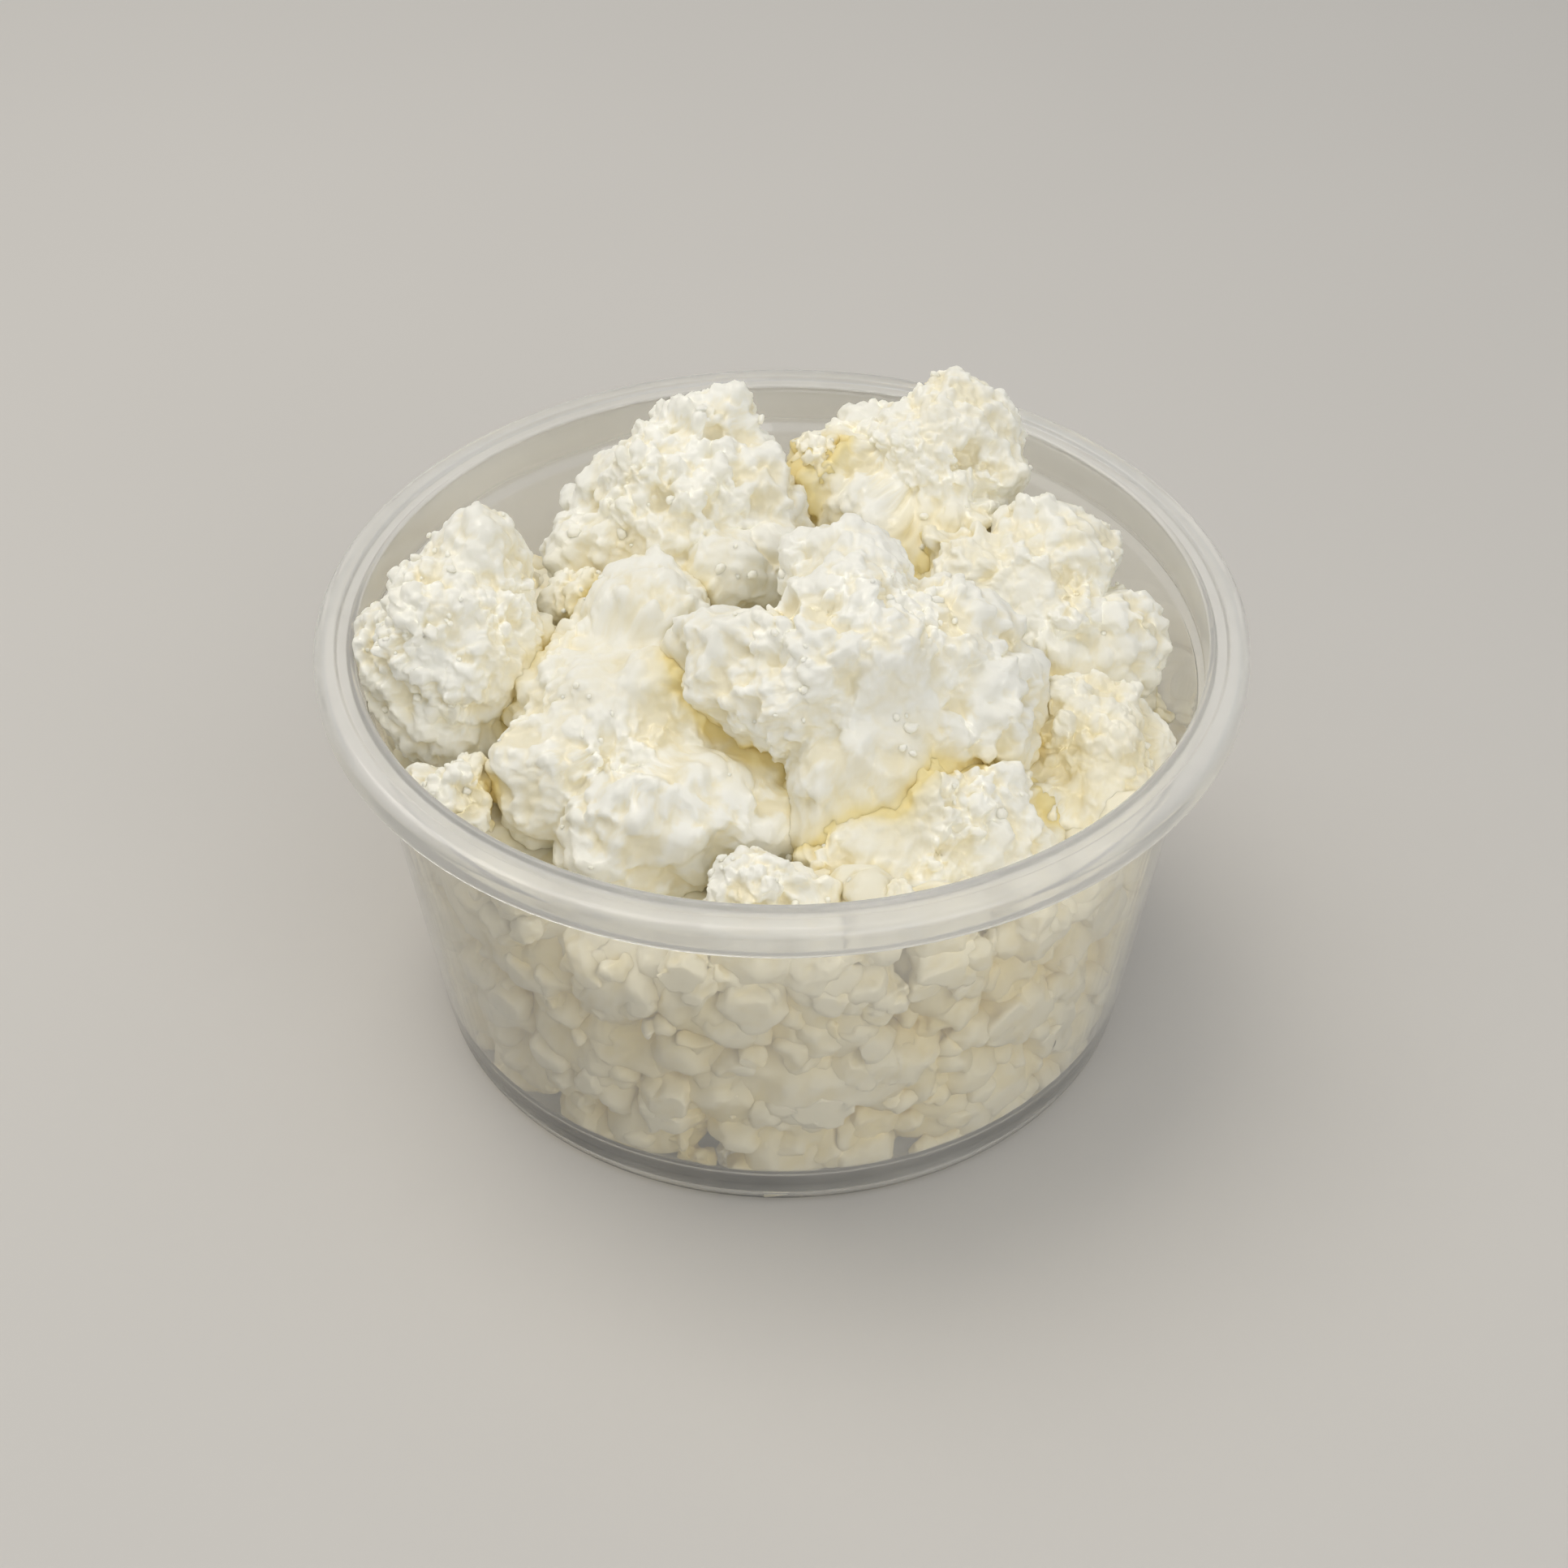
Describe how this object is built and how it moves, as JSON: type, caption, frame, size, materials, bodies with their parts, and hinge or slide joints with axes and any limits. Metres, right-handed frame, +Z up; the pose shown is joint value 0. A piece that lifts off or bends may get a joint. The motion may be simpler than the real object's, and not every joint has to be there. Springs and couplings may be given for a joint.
{
  "type": "tub of crumbled feta",
  "caption": "Round translucent plastic deli tub with a rolled rim, filled and heaped with rough white crumbled feta.",
  "frame": {"origin": "middle of the tub's foot, on the tub's axis, where it stands", "axes": "+Z up along the tub's axis, -Y towards the front of the heap, +X to the right"},
  "size_m": [0.1174, 0.1174, 0.0745],
  "materials": {
    "tub": "translucent milky polypropylene, moulded, satin",
    "feta": "moist crumbly white cheese, matt with a faint sheen"
  },
  "bodies": {
    "root": {"tub": "tub", "feta_bed": "feta", "chunk_center": "feta", "chunk_peak": "feta", "chunk_left": "feta", "chunk_back_right": "feta", "chunk_right": "feta", "chunk_front_left": "feta", "chunk_right_low": "feta", "chunk_under_center": "feta", "chunk_front_small": "feta", "chunk_left_ball": "feta", "crumb_back": "feta", "crumb_left_gap": "feta", "crumb_front": "feta", "crumb_front_small": "feta", "floor_crumb_left": "feta", "floor_crumb_right": "feta"}
  },
  "joints": []
}
